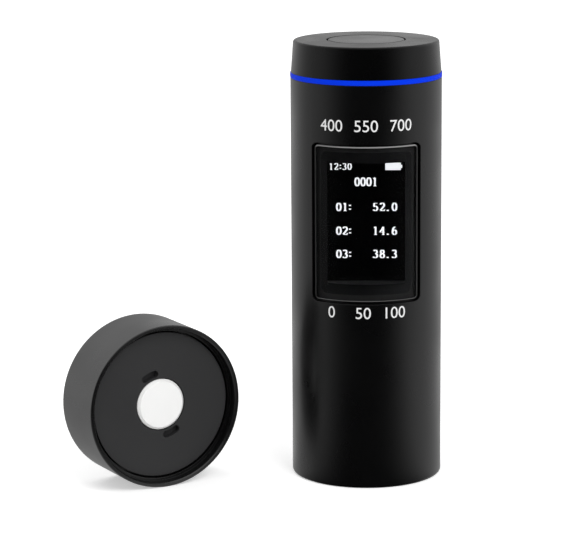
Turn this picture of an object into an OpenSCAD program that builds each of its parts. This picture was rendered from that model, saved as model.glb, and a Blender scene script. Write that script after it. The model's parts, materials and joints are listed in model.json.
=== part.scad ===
// Handheld cylindrical colorimeter with its calibration cap taken off and stood beside it.
// Millimetres. The origin is the centre of the measuring aperture on the table, +Z is up,
// and the display faces -Y.

/* [Barrel] */
// Outside diameter of the barrel
barrel_d = 31; // [30.5:0.5:34]
// Wall thickness of the barrel tube
barrel_wall = 1.8; // [1.6:0.1:2]
// Height of the barrel tube above the table
tube_h = 83; // [82:0.5:96]
// Rounding at the foot of the barrel tube
foot_round = 0.6; // [0.3:0.1:0.8]
// Height of the shoulder ring inside the foot of the tube
shoulder_h = 1.2; // [0.8:0.1:1.6]

/* [Accent ring and head] */
// Height of the coloured ring between the tube and the head
ring_h = 1.05; // [0.8:0.05:2]
// How far the coloured ring stands out of the barrel
ring_proud = 0.05; // [0:0.05:0.2]
// Height of the head above the coloured ring
head_h = 6.55; // [6.4:0.05:9]
// Step in from the barrel to the foot of the head
head_step = 0.1; // [0:0.05:0.3]
// How much narrower the head's radius is at its top
head_taper = 0.45; // [0.2:0.05:0.8]
// Rounding of the head's top edge
head_round = 0.45; // [0.2:0.05:0.6]
// Thickness of the head's top
head_roof = 1.6; // [1.2:0.1:1.8]
// Depth of the head's spigot below the head
spigot_h = 4.2; // [3:0.1:5]
// Wall thickness of the head's spigot
spigot_wall = 1; // [0.8:0.1:1.2]

/* [Button] */
// Width of the head's top round the button
top_w = 6.8; // [6.6:0.1:8.2]
// Gap round the button
button_gap = 0.3; // [0.2:0.05:0.4]
// Travel of the button
button_travel = 0.6; // [0.3:0.05:0.7]
// Rounding of the button's top edge
button_round = 0.25; // [0.1:0.05:0.4]
// Reach of the button's retaining flange past its rim
flange_reach = 0.75; // [0.5:0.05:0.9]
// Thickness of the button's retaining flange
flange_t = 0.5; // [0.4:0.1:0.8]
// Diameter of the plunger under the button
plunger_d = 3; // [2.4:0.1:3.4]
// Diameter of the plunger's nub inside the switch
nub_d = 1.8; // [1.4:0.1:2]
// Space for the return spring between the button and its holder
spring_space = 2.2; // [1.8:0.1:2.6]
// Mean diameter of the return spring
spring_d = 6; // [5:0.2:7]
// Wire diameter of the return spring
spring_wire = 0.4; // [0.3:0.05:0.45]

/* [Button holder and switch] */
// Thickness of the plate that guides the plunger
holder_t = 1.6; // [1.2:0.1:1.8]
// Space between the guide plate and the switch board
switch_space = 2; // [1.9:0.1:2.4]
// Height of the push switch
switch_h = 1.8; // [1.6:0.1:1.8]
// Width of the push switch
switch_w = 4.5; // [4:0.5:6]
// Thickness of the small circuit boards
small_board_t = 0.8; // [0.6:0.1:1]

/* [Window] */
// Height of the window's centre above the table
window_z = 54.85; // [53:0.25:56]
// Width of the window recess, seen from the front
window_w = 21.8; // [21:0.2:22.4]
// Height of the window recess
window_h = 32.7; // [31.5:0.3:34]
// Corner radius of the window recess
window_corner = 1.2; // [0.8:0.1:1.6]
// Width of the groove round the lens
lens_gap = 0.52; // [0.3:0.02:0.8]
// Thickness of the lens
lens_t = 0.75; // [0.6:0.05:0.8]
// How far the lens lies below the barrel's surface
lens_sink = 0.2; // [0.1:0.05:0.3]
// Width of the ledge that carries the lens
ledge_w = 1.8; // [1.4:0.1:2]
// Thickness of the adhesive tape under the lens
tape_t = 0.15; // [0.1:0.05:0.2]

/* [Display] */
// Width of the lit area
active_w = 15.6; // [14.6:0.1:15.8]
// Height of the lit area
active_h = 24.8; // [22:0.2:25.4]
// Width of the display module
panel_w = 17.2; // [16.8:0.1:17.4]
// Height of the display module
panel_h = 29.3; // [28:0.1:29.6]
// How far the module's centre lies below the window's centre
panel_drop = 0.9; // [0:0.1:1]
// Thickness of the display glass
glass_t = 0.9; // [0.7:0.1:1.1]
// Thickness of the backlight tray
backlight_t = 0.7; // [0.5:0.1:0.9]
// Space behind the display for the chips
chip_space = 1.6; // [1.4:0.1:1.8]
// Height of the display holder
holder_h = 33; // [33:0.2:36]
// Width of the display ribbon
ribbon_w = 12; // [8:1:13]
// Thickness of the ribbon cables
ribbon_t = 0.2; // [0.1:0.05:0.3]

/* [Chassis and battery] */
// Running gap between the inner parts and the tube
inner_gap = 0.2; // [0.1:0.05:0.3]
// Height of the legs between the light source and the chassis
leg_h = 7.2; // [7.1:0.1:7.6]
// Diameter of the chassis legs
leg_d = 3; // [2.6:0.1:3.2]
// Thickness of the chassis shelves
shelf_t = 2; // [1.6:0.1:2.2]
// Thickness of the chassis spine
spine_t = 1.4; // [1.2:0.1:1.8]
// Thickness of the main circuit board
board_t = 1; // [0.8:0.1:1.2]
// Width of the main circuit board
board_w = 22; // [20:0.5:22]
// Diameter of the battery cell
cell_d = 14; // [12:0.5:14.5]
// Space between the chassis and the screws under the head
head_space = 2.8; // [2:0.1:6]
// Thickness of the battery strap
strap_t = 0.6; // [0.4:0.1:0.8]
// Width of the battery strap
strap_w = 6; // [4:0.5:8]

/* [Charging socket] */
// Width of the charging socket
usb_w = 9; // [8.6:0.1:9]
// Height of the charging socket
usb_h = 3.2; // [3:0.1:3.2]
// Depth of the charging socket
usb_l = 7.3; // [6.5:0.1:7.6]
// Gap between the socket and its slot in the tube
usb_gap = 0.2; // [0.15:0.05:0.3]

/* [Optics] */
// Diameter of the measuring aperture
aperture_d = 8; // [6:0.5:9]
// Thickness of the base plate
base_t = 2; // [1.8:0.1:2.4]
// Inside diameter of the integrating sphere
sphere_d = 20; // [18.5:0.5:20]
// Wall of the sphere block at its equator
sphere_wall = 1.6; // [1.4:0.1:1.7]
// Thickness of the aperture glass
aperture_glass_t = 0.8; // [0.6:0.1:1]
// Diameter of the aperture glass
aperture_glass_d = 10.4; // [10:0.2:11]
// Tilt of the sensor's view from the vertical
view_tilt = 8; // [6:0.5:9]
// Diameter of the sensor's lens tube
optic_d = 6; // [5.6:0.1:6]
// Diameter of the light ports in the sphere
port_d = 2.4; // [2:0.1:2.6]

/* [Fasteners and magnets] */
// Shank diameter of the small screws
screw_d = 1.6; // [1.4:0.1:1.7]
// Head diameter of the small screws
screw_head_d = 2.9; // [2.6:0.1:3]
// Head height of the small screws
screw_head_h = 0.8; // [0.6:0.1:0.9]
// Diameter of the magnets
magnet_d = 4; // [3:0.5:4]
// Thickness of the magnets
magnet_t = 1.3; // [1:0.1:1.4]

/* [Calibration cap] */
// Clearance between the barrel and the mouth of the cap
cap_clearance = 0.55; // [0.3:0.05:0.7]
// Wall of the cap at its mouth
cap_wall = 0.9; // [0.8:0.1:1.4]
// Length of the cap
cap_l = 13.7; // [12.5:0.1:18]
// Depth of the cap's mouth
mouth_depth = 2.1; // [1.6:0.1:2.2]
// Depth of the carrier's face below the rim
floor_depth = 2.4; // [2.3:0.1:3]
// Width of the step inside the mouth
step_w = 0.6; // [0.4:0.1:0.8]
// Gap between the step and the carrier
carrier_gap = 0.39; // [0.2:0.01:0.5]
// Thickness of the carrier plate
carrier_t = 2.4; // [2.2:0.1:3]
// Thickness of the cap's closed end
end_t = 1.6; // [1.2:0.1:2.4]
// Rounding of the cap's closed end
end_round = 0.4; // [0.3:0.1:1.2]
// Diameter of the white tile
tile_d = 10.6; // [9.6:0.1:10.8]
// How far the tile stands out of the carrier
tile_proud = 0.3; // [0:0.05:0.5]
// Width of the tile's bevelled edge
tile_bevel = 0.5; // [0.2:0.05:0.7]
// Width of the two key slots in the carrier
slot_w = 1.5; // [1.2:0.1:1.6]
// Length of the two key slots in the carrier
slot_l = 3.9; // [3:0.1:5]
// Depth of the two key slots in the carrier
slot_depth = 1.4; // [0.8:0.1:1.5]
// Angle of the first key slot, anticlockwise from the cap's right
slot_turn = 111; // [0:1:180]

/* [Where the cap stands] */
// Distance of the cap's closed end to the left of the barrel's axis
cap_left = 48; // [44:0.1:60]
// Distance of the cap's closed end in front of the barrel's axis
cap_front = 2.6; // [0:0.1:20]
// Angle that the cap's mouth turns from the front to the right
cap_yaw = 30.9; // [0:0.1:45]

/* [Hidden] */
$fn = 96;

BLACK = "#1b1c1e";
DARK = "#2a2b2e";
BLUE = "#0a37e0";
WHITE = "#f4f4f0";
GLASS = "#20242a";
BOARD = "#17613a";
CHIP = "#26272b";
STEEL = "#a9adb3";
BRASS = "#c9a44c";
CELL = "#3a7bbf";
FOAM = "#4a4c50";

// Clearances and small sizes that several parts share
fit_gap = 0.1;
loose_gap = 0.15;
thread_gap = 0.05;
cut = 1;
stop_gap = 0.1;
part_gap = 0.3;

// Radii of the barrel
barrel_r = barrel_d / 2;
bore_r = barrel_r - barrel_wall;
chassis_r = bore_r - inner_gap;
block_r = sphere_d / 2 + sphere_wall;
shoulder_r = block_r + part_gap;
ring_z = tube_h + ring_h;
head_top = ring_z + head_h;

// Window
ledge_r = barrel_r - lens_sink - lens_t - tape_t;
lens_r = barrel_r - lens_sink;
lens_back_r = lens_r - lens_t;
lens_w = window_w - 2 * lens_gap;
lens_h = window_h - 2 * lens_gap;
lens_corner = 0.8;
sight_w = window_w - 2 * ledge_w;
sight_h = window_h - 2 * ledge_w;
tape_inset = 0.2;

// Depths in front of the barrel's axis, from the display back to the spine
panel_side_gap = 0.05;
panel_margin = 0.25;
panel_front = sqrt(pow(chassis_r, 2) - pow(panel_w / 2 + panel_margin, 2));
panel_back = panel_front - glass_t - backlight_t;
board_front = panel_back - chip_space;
board_back = board_front - board_t;
spine_back = board_back - spine_t;
panel_z0 = window_z - panel_drop - panel_h / 2;
holder_z0 = window_z - holder_h / 2;
ribbon_drop = 0.6;

// Heights of the optics, from the table up
glass_seat_z = base_t + aperture_glass_t + thread_gap;
sphere_r = sphere_d / 2;
aperture_r = aperture_d / 2;
equator_z = glass_seat_z + sqrt(pow(sphere_r, 2) - pow(aperture_r, 2));
sphere_roof = 1;
sphere_top = equator_z + sphere_r + sphere_roof;
led_top = sphere_top + small_board_t;
flange_z = base_t + shoulder_h;
lower_flange_t = 1.2;
led_ring_inset = 1;
led_ring_r = sphere_r - led_ring_inset;
led_w = 2;
led_h = 0.7;
led_well_r = 1.6;
led_margin = 0.6;
led_hole_r = led_ring_r - led_w / 2 - led_margin;

// Screws and magnets of the base
screw_r = screw_d / 2;
screw_hole_r = screw_r + fit_gap;
screw_bite_r = screw_r + thread_gap;
screw_head_r = screw_head_d / 2;
screw_sink = 0.1;
drive_r = 0.5;
drive_depth = 0.4;
base_hole_depth = 4;
base_hole_spare = 1;
base_hole_top = base_t + base_hole_depth;
base_screw_top = base_hole_top - base_hole_spare;
screw_wall = 0.45;
sphere_r_at_hole = sqrt(pow(sphere_r, 2) - pow(equator_z - base_hole_top, 2));
base_screw_ring = sphere_r_at_hole + screw_wall + screw_bite_r;
magnet_rim = 0.4;
magnet_ring = bore_r - fit_gap - magnet_d / 2 - magnet_rim;

// Sensor on its tilted axis, as distances from the aperture glass
optic_r = optic_d / 2;
optic_wall = 1.2;
optic_l = 4.5;
boss_rise = 2.6;
boss_end = (sphere_top - glass_seat_z) / cos(view_tilt) + boss_rise;
boss_r = optic_r + optic_wall;
optic_start = boss_end - optic_l;
optic_flange = 2;
optic_head_r = optic_r + optic_flange;
optic_head_h = 2.5;
sensor_board_r = 5.2;
sensor_w = 4.6;
sensor_h = 1;
sensor_lens_seat = 0.7;
sensor_lens_r = optic_r - sensor_lens_seat;
sensor_lens_t = 1;
sensor_lens_z = optic_start + 0.4;
sensor_pocket = 1.2;
sight_r = 1.6;

// Button, from the head's top down
head_foot_r = barrel_r - head_step;
head_rim_r = head_foot_r - head_taper;
button_hole_r = head_rim_r - top_w;
button_r = button_hole_r - button_gap;
button_flange_r = button_r + flange_reach;
roof_z = head_top - head_roof;
button_under = roof_z - stop_gap - flange_t;
guide_top = button_under - spring_space;
guide_z = guide_top - holder_t;
switch_board_top = guide_z - switch_space;
switch_board_z = switch_board_top - small_board_t;
switch_top = switch_board_top + switch_h;
well_floor = 0.6;
plunger_r = plunger_d / 2;
nub_r = nub_d / 2;
nub_gap = 0.3;
plunger_shoulder_z = switch_top + button_travel + fit_gap;
nub_z = switch_board_top + well_floor + button_travel + fit_gap;
spigot_r = bore_r - fit_gap;
head_in_r = spigot_r - spigot_wall;
spigot_z = ring_z - spigot_h;
guide_r = head_in_r - inner_gap;
switch_board_r = guide_r - inner_gap;
head_boss_r = 1.6;
flange_clearance = 0.4;
head_boss_ring = button_flange_r + flange_clearance + head_boss_r;
head_screw_bite = 1.8;

// Chassis and battery: the cell takes the length that the two shelves leave it
leg_inset = 1.7;
leg_ring = block_r - leg_inset;
LEG_TURNS = [45, 135, 240, 300];
leg_screw_bite = 3.5;
shelf_z = led_top + leg_h;
shelf_top = shelf_z + shelf_t;
shelf2_top = switch_board_z - screw_head_h - head_space;
shelf2_z = shelf2_top - shelf_t;
tab_t = 0.2;
tab_w = 3;
tab_reach = 3;
cell_r = cell_d / 2;
cell_gap = 0.15;
cell_z = shelf_top + fit_gap + tab_t;
cell_top = shelf2_z - part_gap - tab_t;
cell_l = cell_top - cell_z;
cell_y = chassis_r - strap_t - cell_gap - cell_r;
board_z = shelf_top + inner_gap;
board_top = shelf2_z - inner_gap;
spine_w = 2 * (sqrt(pow(chassis_r, 2) - pow(board_back, 2)) - fit_gap);
rib_t = 1.6;
RIB_SHARES = [0.15, 0.5, 0.85];
flex_w = 4;
flex_drop = 2;
flex_z = board_top - flex_drop;

// Charging socket at the back, hung under the lower shelf
usb_board_w = 10;
usb_board_tail = 3;
usb_board_z = shelf_z - small_board_t;
usb_z = usb_board_z - usb_h / 2;
usb_inset = 0.9;
usb_mouth = barrel_r - usb_inset;
usb_wall = 0.35;
usb_board_end = sqrt(pow(chassis_r, 2) - pow(usb_board_w / 2, 2)) - fit_gap;
usb_tongue_t = 0.7;
usb_tongue_gap = 1.2;
usb_tongue_w = usb_w - 2 * usb_tongue_gap;

// Cap, from its closed end to its mouth
mouth_r = barrel_r + cap_clearance;
cap_r = mouth_r + cap_wall;
rim_round = 0.25;
mouth_chamfer = 0.25;
chamfer_h = mouth_chamfer + thread_gap;
seat_r = mouth_r - step_w;
carrier_r = seat_r - carrier_gap;
carrier_top = cap_l - floor_depth;
carrier_z = carrier_top - carrier_t;
carrier_seat_w = 1.4;
cavity_r = carrier_r - carrier_seat_w;
tile_r = tile_d / 2;
tile_gap = 0.2;
tile_flange_w = 1.2;
tile_flange_r = tile_r + tile_flange_w;
tile_flange_t = 1.3;
cup_wall = 1.5;
cup_depth = 4.1;
cup_r = tile_flange_r + inner_gap;
pad_t = 1.6;
slot_inset = 1.3;
slot_ring = tile_r + slot_inset;

module disc(r, z0, z1) {
    translate([0, 0, z0]) cylinder(r = r, h = z1 - z0);
}

module slab(w, y0, y1, z0, z1) {
    translate([-w / 2, y0, z0]) cube([w, y1 - y0, z1 - z0]);
}

module ring_of(turns, radius) {
    for (turn = turns)
        rotate(turn) translate([radius, 0, 0]) children();
}

module rounded_rect(w, h, r) {
    square([w - 2 * r, h], center = true);
    square([w, h - 2 * r], center = true);
    for (sx = [-1, 1], sy = [-1, 1])
        translate([sx * (w / 2 - r), sy * (h / 2 - r)]) circle(r = r);
}

module stadium(w, h) {
    square([w - h, h], center = true);
    for (side = [-1, 1])
        translate([side * (w - h) / 2, 0]) circle(r = h / 2);
}

// A straight prism through the window, between two depths in front of the axis
module window_prism(w, h, corner, near, far) {
    translate([0, -near, window_z])
        rotate([90, 0, 0])
            linear_extrude(height = far - near) rounded_rect(w, h, corner);
}

// A straight prism through the back of the barrel, between two depths behind the axis
module back_prism(w, h, near, far) {
    translate([0, near, usb_z])
        rotate([-90, 0, 0])
            linear_extrude(height = far - near) stadium(w, h);
}

// The sensor looks at the aperture along this tilted axis
module along_view() {
    translate([0, 0, glass_seat_z]) rotate([view_tilt, 0, 0]) children();
}

module cap_place() {
    translate([-cap_left, -cap_front, cap_r]) rotate([90, 0, cap_yaw]) children();
}

// Barrel

module tube_profile() {
    translate([bore_r, foot_round]) square([barrel_wall, tube_h - foot_round]);
    translate([bore_r, 0]) square([barrel_wall - foot_round, 2 * foot_round]);
    translate([barrel_r - foot_round, foot_round]) circle(r = foot_round);
    translate([shoulder_r, base_t]) square([bore_r - shoulder_r + foot_round, shoulder_h]);
}

module main_tube() {
    color(BLACK)
        difference() {
            rotate_extrude() tube_profile();
            difference() {
                window_prism(window_w, window_h, window_corner, 0, barrel_r + cut);
                cylinder(r = ledge_r, h = tube_h);
            }
            window_prism(sight_w, sight_h, window_corner, 0, barrel_r + cut);
            back_prism(usb_w + 2 * usb_gap, usb_h + 2 * usb_gap, 0, barrel_r + cut);
        }
}

module accent_ring() {
    color(BLUE)
        difference() {
            disc(barrel_r + ring_proud, tube_h, ring_z);
            disc(bore_r, tube_h - cut, ring_z + cut);
        }
}

module head_profile() {
    polygon([
        [head_in_r, spigot_z],
        [spigot_r, spigot_z],
        [spigot_r, ring_z],
        [head_foot_r, ring_z],
        [head_rim_r, head_top - head_round],
        [head_rim_r - head_round, head_top],
        [button_hole_r, head_top],
        [button_hole_r, roof_z],
        [head_in_r, roof_z]
    ]);
    translate([head_rim_r - head_round, head_top - head_round]) circle(r = head_round);
}

module head_boss_turns() {
    ring_of([30, 150, 270], head_boss_ring) children();
}

module head_cap() {
    color(BLACK)
        difference() {
            union() {
                rotate_extrude() head_profile();
                head_boss_turns() disc(head_boss_r, guide_top, roof_z + fit_gap);
            }
            head_boss_turns() disc(screw_bite_r, guide_top - cut, guide_top + head_screw_bite);
        }
}

// Window and display

module display_lens() {
    color(GLASS)
        difference() {
            intersection() {
                disc(lens_r, 0, tube_h);
                window_prism(lens_w, lens_h, lens_corner, 0, barrel_r + cut);
            }
            disc(lens_back_r, -cut, tube_h + cut);
        }
}

module lens_tape() {
    color(DARK)
        difference() {
            intersection() {
                disc(lens_back_r, 0, tube_h);
                window_prism(lens_w - 2 * tape_inset, lens_h - 2 * tape_inset, lens_corner,
                    0, barrel_r + cut);
            }
            disc(ledge_r, -cut, tube_h + cut);
            window_prism(sight_w, sight_h, window_corner, 0, barrel_r + cut);
        }
}

module display_holder() {
    color(BLACK)
        difference() {
            union() {
                intersection() {
                    disc(chassis_r, holder_z0, holder_z0 + holder_h);
                    slab(barrel_d, -barrel_r, -board_front, holder_z0, holder_z0 + holder_h);
                }
                intersection() {
                    disc(lens_back_r - loose_gap, 0, tube_h);
                    window_prism(sight_w - 2 * loose_gap, sight_h - 2 * loose_gap,
                        window_corner - loose_gap, panel_front, barrel_r);
                }
            }
            slab(active_w + 2 * panel_side_gap, -barrel_r, -board_front + cut,
                window_z - active_h / 2, window_z + active_h / 2);
            slab(panel_w + 2 * panel_side_gap, -panel_front, -board_front + cut,
                panel_z0 - panel_side_gap, panel_z0 + panel_h + panel_side_gap);
            slab(ribbon_w + cut, -panel_front, -board_front + cut, holder_z0 - cut, panel_z0);
            slab(flex_w + 2 * part_gap, -board_front - ribbon_t - part_gap, -board_front + cut,
                panel_z0 + panel_h, holder_z0 + holder_h + cut);
        }
}

module display_glass() {
    color(GLASS)
        slab(panel_w, -panel_front, -(panel_front - glass_t), panel_z0, panel_z0 + panel_h);
}

module backlight() {
    color(WHITE)
        slab(panel_w, -(panel_front - glass_t), -panel_back, panel_z0, panel_z0 + panel_h);
}

// The ribbon leaves the foot of the glass and turns back up onto the main board
module display_ribbon() {
    outside = panel_front - glass_t / 2 + ribbon_t / 2;
    bend_r = (outside - board_front) / 2;
    bend_y = board_front + bend_r;
    bend_z = panel_z0 - ribbon_drop;
    color(BRASS)
        translate([-ribbon_w / 2, 0, 0])
            rotate([90, 0, 90])
                linear_extrude(height = ribbon_w) {
                    difference() {
                        translate([-bend_y, bend_z]) circle(r = bend_r);
                        translate([-bend_y, bend_z]) circle(r = bend_r - ribbon_t);
                        translate([-2 * barrel_r, bend_z]) square([2 * barrel_r, barrel_r]);
                    }
                    translate([-outside, bend_z]) square([ribbon_t, panel_z0 - bend_z]);
                    translate([-board_front - ribbon_t, bend_z]) square([ribbon_t, panel_z0 - bend_z]);
                }
}

// Main board

module main_board() {
    color(BOARD)
        slab(board_w, -board_front, -board_back, board_z, board_top);
}

// Each chip is [sideways place, height above the panel's foot, width, height, thickness]
CHIPS = [[0, 11, 8, 8, 1], [-5.2, 4, 4, 3, 0.9], [4.8, 3.6, 3, 3, 0.9], [5.6, 19, 3, 4, 1]];
RADIO = [-1.4, 21.2, 9, 10, 1.2];

module board_part(part) {
    translate([part[0] - part[2] / 2, -board_front - part[4], panel_z0 + part[1] - part[3] / 2])
        cube([part[2], part[4], part[3]]);
}

module board_chips() {
    color(CHIP)
        for (chip = CHIPS)
            board_part(chip);
}

module radio_module() {
    color(STEEL) board_part(RADIO);
}

// Chassis and battery

function rib_z(share) = cell_z + share * cell_l - rib_t / 2;

// The spine and its ribs, with the battery's round bed cut out of them
module battery_frame() {
    difference() {
        union() {
            slab(spine_w, -board_back, -spine_back, shelf_top - fit_gap, shelf2_z + fit_gap);
            for (share = RIB_SHARES)
                intersection() {
                    disc(chassis_r, rib_z(share), rib_z(share) + rib_t);
                    slab(barrel_d, -board_back, cell_y, rib_z(share), rib_z(share) + rib_t);
                }
        }
        translate([0, cell_y, 0]) disc(cell_r + cell_gap, shelf_z, shelf2_top);
    }
}

module chassis() {
    color(DARK)
        difference() {
            union() {
                disc(chassis_r, shelf_z, shelf_top);
                intersection() {
                    disc(chassis_r, shelf2_z, shelf2_top);
                    slab(barrel_d, -board_back, barrel_r, shelf2_z, shelf2_top);
                }
                battery_frame();
                ring_of(LEG_TURNS, leg_ring) disc(leg_d / 2, led_top, shelf_z + fit_gap);
            }
            ring_of(LEG_TURNS, leg_ring) {
                disc(screw_hole_r, led_top - cut, shelf_top + cut);
                disc(screw_head_r + fit_gap, shelf_top - screw_head_h - fit_gap, shelf_top);
            }
            slab(tab_w + part_gap, -board_back - cut, -spine_back + cut, shelf_top, cell_z + part_gap);
            slab(tab_w + part_gap, -board_back - cut, -spine_back + cut, cell_top - part_gap, shelf2_z);
        }
}

module chassis_screws() {
    color(STEEL)
        ring_of(LEG_TURNS, leg_ring)
            difference() {
                union() {
                    disc(screw_r, sphere_top - leg_screw_bite, shelf_top - screw_head_h);
                    disc(screw_head_r, shelf_top - screw_head_h - fit_gap, shelf_top - fit_gap);
                }
                translate([0, 0, shelf_top - fit_gap - drive_depth])
                    cylinder(r = drive_r, h = cut, $fn = 6);
            }
}

module battery_cell() {
    color(CELL)
        translate([0, cell_y, 0]) disc(cell_r, cell_z, cell_top);
}

module battery_tabs() {
    color(STEEL)
        for (z = [cell_z - tab_t, cell_top])
            slab(tab_w, -board_back, cell_y + tab_reach, z, z + tab_t);
}

module battery_strap() {
    color(FOAM)
        translate([0, cell_y, cell_z + cell_l / 2 - strap_w / 2])
            linear_extrude(height = strap_w)
                difference() {
                    circle(r = cell_r + cell_gap + strap_t);
                    circle(r = cell_r + cell_gap);
                    translate([-barrel_r, -barrel_d]) square([barrel_d, barrel_d]);
                }
}

// Charging socket

module usb_board() {
    color(BOARD)
        slab(usb_board_w, usb_mouth - usb_l - usb_board_tail, usb_board_end, usb_board_z, shelf_z);
}

module usb_socket() {
    color(STEEL)
        difference() {
            back_prism(usb_w, usb_h, usb_mouth - usb_l, usb_mouth);
            back_prism(usb_w - 2 * usb_wall, usb_h - 2 * usb_wall, usb_mouth - usb_l + cut,
                usb_mouth + cut);
        }
    color(CHIP)
        slab(usb_tongue_w, usb_mouth - usb_l + cut / 2, usb_mouth - cut / 2,
            usb_z - usb_tongue_t / 2, usb_z + usb_tongue_t / 2);
}

// Base and optics

BASE_SCREW_TURNS = [90, 210, 330];
MAGNET_TURNS = [30, 150, 270];
LED_TURNS = [0, 90, 180, 270];

module base_plate() {
    color(BLACK)
        difference() {
            disc(bore_r - fit_gap, 0, base_t);
            disc(aperture_r, -cut, base_t + cut);
            ring_of(BASE_SCREW_TURNS, base_screw_ring) {
                disc(screw_hole_r, -cut, base_t + cut);
                disc(screw_head_r + fit_gap, -cut, screw_sink + screw_head_h);
            }
            ring_of(MAGNET_TURNS, magnet_ring)
                disc(magnet_d / 2 + thread_gap, base_t - magnet_t, base_t + cut);
        }
}

module base_screws() {
    color(STEEL)
        ring_of(BASE_SCREW_TURNS, base_screw_ring)
            difference() {
                union() {
                    disc(screw_head_r, screw_sink, screw_sink + screw_head_h);
                    disc(screw_r, screw_sink, base_screw_top);
                }
                translate([0, 0, screw_sink - cut])
                    cylinder(r = drive_r, h = cut + drive_depth, $fn = 6);
            }
}

module base_magnets() {
    color(STEEL)
        ring_of(MAGNET_TURNS, magnet_ring) disc(magnet_d / 2, base_t - magnet_t, base_t);
}

module aperture_glass() {
    color(GLASS) disc(aperture_glass_d / 2, base_t, base_t + aperture_glass_t);
}

module sphere_lower() {
    color(WHITE)
        difference() {
            union() {
                disc(block_r, base_t, equator_z);
                disc(chassis_r, flange_z, flange_z + lower_flange_t);
            }
            translate([0, 0, equator_z]) sphere(r = sphere_r);
            disc(aperture_glass_d / 2 + fit_gap, base_t - cut, glass_seat_z);
            ring_of(BASE_SCREW_TURNS, base_screw_ring)
                disc(screw_bite_r, base_t - cut, base_hole_top);
        }
}

module sphere_upper() {
    color(WHITE)
        difference() {
            union() {
                disc(block_r, equator_z, sphere_top);
                along_view() disc(boss_r, boss_end - 2 * optic_r, boss_end);
            }
            translate([0, 0, equator_z]) sphere(r = sphere_r);
            along_view() disc(optic_r + thread_gap, sphere_r, boss_end + cut);
            ring_of(LED_TURNS, led_ring_r) {
                disc(port_d / 2, equator_z + sqrt(pow(sphere_r, 2) - pow(led_ring_r, 2)), sphere_top + cut);
                disc(led_well_r, sphere_top - led_h - fit_gap, sphere_top + cut);
            }
            ring_of(LEG_TURNS, leg_ring)
                disc(screw_bite_r, sphere_top - leg_screw_bite - fit_gap, sphere_top + cut);
        }
}

module led_board() {
    color(BOARD)
        difference() {
            disc(block_r, sphere_top, led_top);
            disc(led_hole_r, sphere_top - cut, led_top + cut);
            ring_of(LEG_TURNS, leg_ring) disc(screw_hole_r, sphere_top - cut, led_top + cut);
        }
}

module sphere_leds() {
    color(WHITE)
        ring_of(LED_TURNS, led_ring_r)
            translate([-led_w / 2, -led_w / 2, sphere_top - led_h]) cube([led_w, led_w, led_h]);
}

module optic_tube() {
    color(BLACK)
        along_view()
            difference() {
                union() {
                    disc(optic_r, optic_start, boss_end + optic_head_h);
                    disc(optic_head_r, boss_end, boss_end + optic_head_h);
                }
                disc(sight_r, optic_start - cut, boss_end + optic_head_h + cut);
                disc(sensor_lens_r + thread_gap, optic_start - cut, sensor_lens_z + sensor_lens_t);
                disc(optic_head_r - optic_wall, boss_end + optic_head_h - sensor_pocket,
                    boss_end + optic_head_h + cut);
            }
}

module sensor_lens() {
    dome_r = 2 * sensor_lens_r;
    color(GLASS)
        along_view()
            intersection() {
                disc(sensor_lens_r, sensor_lens_z, sensor_lens_z + sensor_lens_t);
                translate([0, 0, sensor_lens_z + dome_r]) sphere(r = dome_r);
            }
}

module sensor_board() {
    color(BOARD)
        along_view() disc(sensor_board_r, boss_end + optic_head_h, boss_end + optic_head_h + small_board_t);
}

module light_sensor() {
    color(CHIP)
        along_view()
            translate([-sensor_w / 2, -sensor_w / 2, boss_end + optic_head_h - sensor_h])
                cube([sensor_w, sensor_w, sensor_h]);
}

// Button

module button_holder() {
    color(DARK)
        difference() {
            union() {
                disc(guide_r, guide_z, guide_top);
                head_boss_turns() disc(head_boss_r, switch_board_top, guide_z + fit_gap);
            }
            disc(plunger_r + thread_gap, guide_z - cut, guide_top + cut);
            head_boss_turns() disc(screw_hole_r, switch_board_top - cut, guide_top + cut);
        }
}

module button_board() {
    color(BOARD)
        difference() {
            disc(switch_board_r, switch_board_z, switch_board_top);
            head_boss_turns() disc(screw_hole_r, switch_board_z - cut, switch_board_top + cut);
        }
}

module tact_switch() {
    color(STEEL)
        difference() {
            slab(switch_w, -switch_w / 2, switch_w / 2, switch_board_top, switch_top);
            disc(nub_r + nub_gap, switch_board_top + well_floor, switch_top + cut);
        }
}

module button_flex() {
    color(BRASS)
        slab(flex_w, -board_front - ribbon_t, -board_front, flex_z, switch_board_z);
}

module head_screws() {
    color(STEEL)
        head_boss_turns()
            difference() {
                union() {
                    disc(screw_head_r, switch_board_z - screw_head_h, switch_board_z);
                    disc(screw_r, switch_board_z - fit_gap, guide_top + head_screw_bite - fit_gap);
                }
                translate([0, 0, switch_board_z - screw_head_h - cut])
                    cylinder(r = drive_r, h = cut + drive_depth, $fn = 6);
            }
}

// One turn of the spring lies flat at each end, and the coil climbs between them
SPRING_TURNS = 3;
SPRING_STEPS = 16;
SPRING_SIDES = 6;

function spring_rise(share) = min(1, max(0, share * 1.4 - 0.2));

function spring_point(step, side) =
    let (
        share = step / (SPRING_TURNS * SPRING_STEPS),
        turn = 360 * step / SPRING_STEPS,
        side_turn = 360 * side / SPRING_SIDES,
        radius = spring_d / 2 + spring_wire / 2 * cos(side_turn),
        low = guide_top + spring_wire / 2,
        climb = button_under - guide_top - spring_wire
    )
    [
        radius * cos(turn),
        radius * sin(turn),
        low + climb * spring_rise(share) + spring_wire / 2 * sin(side_turn)
    ];

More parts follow.
